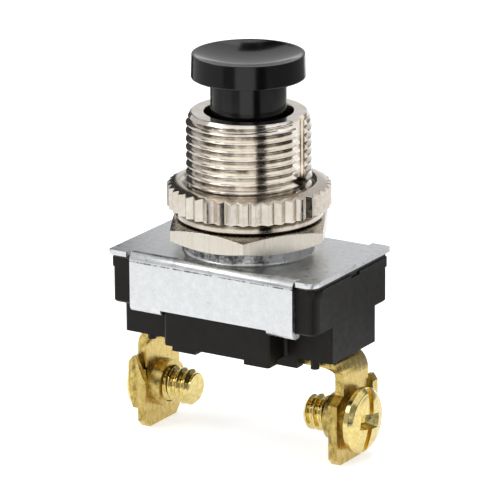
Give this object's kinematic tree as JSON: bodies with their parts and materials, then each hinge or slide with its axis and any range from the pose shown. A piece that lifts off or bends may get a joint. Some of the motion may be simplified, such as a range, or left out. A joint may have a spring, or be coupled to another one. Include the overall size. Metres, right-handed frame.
{
  "type": "pushbutton switch",
  "caption": "Panel-mounted momentary pushbutton switch: dished black button in a threaded bushing with nuts, steel-framed moulded body and brass screw terminals.",
  "frame": {"origin": "on the bushing's axis at the outer face of the knurled nut, where the free thread starts", "axes": "+Z along the bushing towards the button; +X along the body's long side towards one terminal; -Y is the front of the picture's view"},
  "size_m": [0.0258, 0.0154, 0.0379],
  "materials": {
    "black_gloss": "polished black moulding",
    "nickel": "warm nickel plate",
    "zinc": "bright zinc plate on sheet steel",
    "phenolic": "black thermoset moulding",
    "brass": "plain rolled brass",
    "silver": "fine silver contact face",
    "fibre": "dark vulcanised fibre",
    "spring_steel": "bright spring steel"
  },
  "bodies": {
    "base": {"bushing": "nickel", "top_frame": "zinc", "insulator": "fibre", "housing": "phenolic", "terminal_left": "brass", "terminal_right": "brass", "terminal_rivet_left": "brass", "terminal_rivet_right": "brass", "fixed_contact_left": "silver", "fixed_contact_right": "silver", "return_spring": "spring_steel"},
    "button": {"button": "black_gloss", "retaining_ring": "spring_steel", "bridge_clip": "spring_steel", "contact_spring": "spring_steel"},
    "bridge": {"contact_bridge": "brass", "moving_contact_left": "silver", "moving_contact_right": "silver"},
    "face_nut": {"face_nut": "nickel"},
    "hex_nut": {"hex_nut": "nickel"},
    "screw_left": {"terminal_screw_left": "brass"},
    "screw_right": {"terminal_screw_right": "brass"}
  },
  "joints": [
    {"name": "button_press", "type": "slide", "parent": "base", "child": "button", "axis": [0, 0, -1], "range_m": [0, 0.0024], "stiffness_N_per_m": 900, "springref_m": -0.003, "deforming": ["return_spring"]},
    {"name": "bridge_overtravel", "type": "slide", "parent": "button", "child": "bridge", "axis": [0, 0, 1], "range_m": [0, 0.0006], "deforming": ["contact_spring"]},
    {"name": "face_nut_turn", "type": "hinge", "parent": "base", "child": "face_nut", "pos_m": [0, 0, -0.0014], "axis": [0, 0, 1], "continuous": true},
    {"name": "hex_nut_turn", "type": "hinge", "parent": "base", "child": "hex_nut", "pos_m": [0, 0, -0.0045], "axis": [0, 0, 1], "continuous": true},
    {"name": "screw_right_turn", "type": "hinge", "parent": "base", "child": "screw_right", "pos_m": [0.01155, 0, -0.0217], "axis": [1, 0, 0], "continuous": true},
    {"name": "screw_left_turn", "type": "hinge", "parent": "base", "child": "screw_left", "pos_m": [-0.01155, 0, -0.0217], "axis": [-1, 0, 0], "continuous": true}
  ],
  "couplings": [
    {"joint": "bridge_overtravel", "follows": "button_press", "ratio": 0.25}
  ]
}
